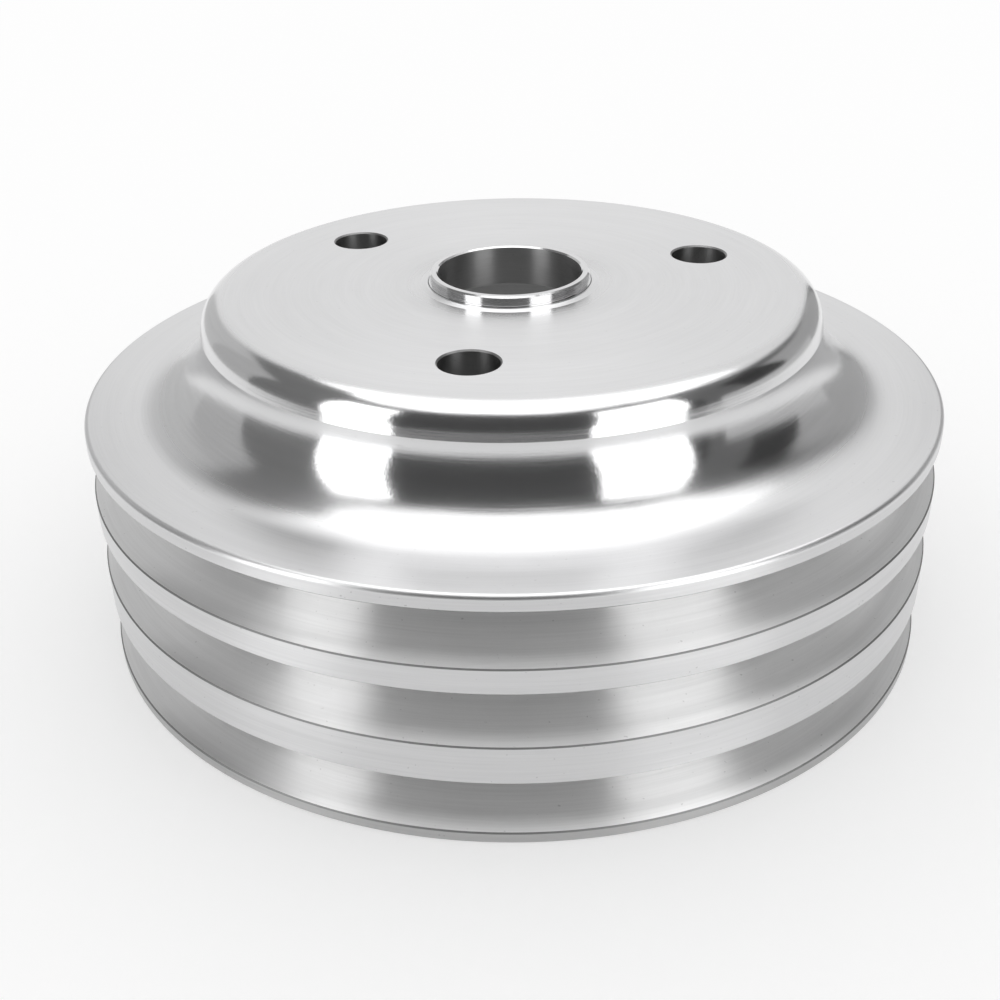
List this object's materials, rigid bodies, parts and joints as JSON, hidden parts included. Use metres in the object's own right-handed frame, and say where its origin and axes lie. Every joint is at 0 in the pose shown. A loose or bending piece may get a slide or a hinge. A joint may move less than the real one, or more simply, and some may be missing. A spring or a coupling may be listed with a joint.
{
  "type": "v-belt crankshaft pulley",
  "caption": "Turned aluminium multi-groove V-belt crankshaft pulley with a bolt-on nose, a raised centring ring and an open front dish.",
  "frame": {"origin": "on the pulley's axis, in the plane of the open front rim that it stands on", "axes": "+Z along the pulley's axis, from the front rim towards the nose that bolts to the crankshaft damper; one bolt hole lies at -Y"},
  "size_m": [0.1714, 0.1714, 0.0716],
  "materials": {
    "body_aluminium": "turned, satin faces with a polished neck",
    "ring_aluminium": "fine turned, nearly polished"
  },
  "bodies": {
    "pulley": {"pulley_body": "body_aluminium", "centring_ring": "ring_aluminium"}
  },
  "joints": []
}
